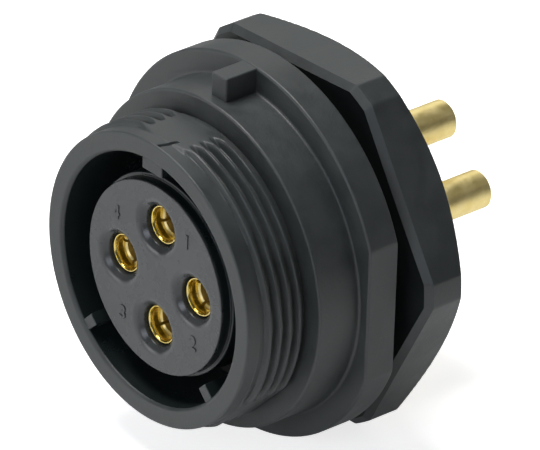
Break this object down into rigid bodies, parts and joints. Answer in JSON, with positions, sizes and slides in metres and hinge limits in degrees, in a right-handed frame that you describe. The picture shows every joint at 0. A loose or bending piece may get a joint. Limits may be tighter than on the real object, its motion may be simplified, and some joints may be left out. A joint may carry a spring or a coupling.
{
  "type": "circular panel receptacle connector",
  "caption": "Round black plastic panel receptacle with a threaded keyed mouth, gold socket contacts in an insert, a flange, a hex lock nut and solder barrels behind.",
  "frame": {"origin": "on the connector's axis, on the rear face of the flange, which seats on the panel", "axes": "-Y points out of the mating mouth, +Y to the wires, +Z to the main key"},
  "size_m": [0.0458, 0.0424, 0.0442],
  "materials": {
    "shell_nylon": "fine moulded grain, black glass-filled nylon",
    "nut_nylon": "moulded black nylon",
    "insert_plastic": "smooth moulded dark grey",
    "seal_rubber": "matte",
    "gold_plate": "turned and gold plated",
    "spring_steel": "bright spring strip"
  },
  "bodies": {
    "receptacle": {"shell": "shell_nylon", "socket_insert": "insert_plastic", "wire_seal": "seal_rubber", "rear_insert": "insert_plastic", "retainer_ring": "nut_nylon", "face_seal": "seal_rubber", "insert_oring": "seal_rubber", "panel_oring": "seal_rubber", "contact_1": "gold_plate", "contact_2": "gold_plate", "contact_3": "gold_plate", "contact_4": "gold_plate", "hood_1": "gold_plate", "hood_2": "gold_plate", "hood_3": "gold_plate", "hood_4": "gold_plate", "clip_1": "spring_steel", "clip_2": "spring_steel", "clip_3": "spring_steel", "clip_4": "spring_steel"},
    "lock_nut": {"nut": "nut_nylon"}
  },
  "joints": [
    {"name": "nut_travel", "type": "slide", "parent": "receptacle", "child": "lock_nut", "axis": [0, 1, 0], "range_m": [-0.0018, 0.026]}
  ]
}
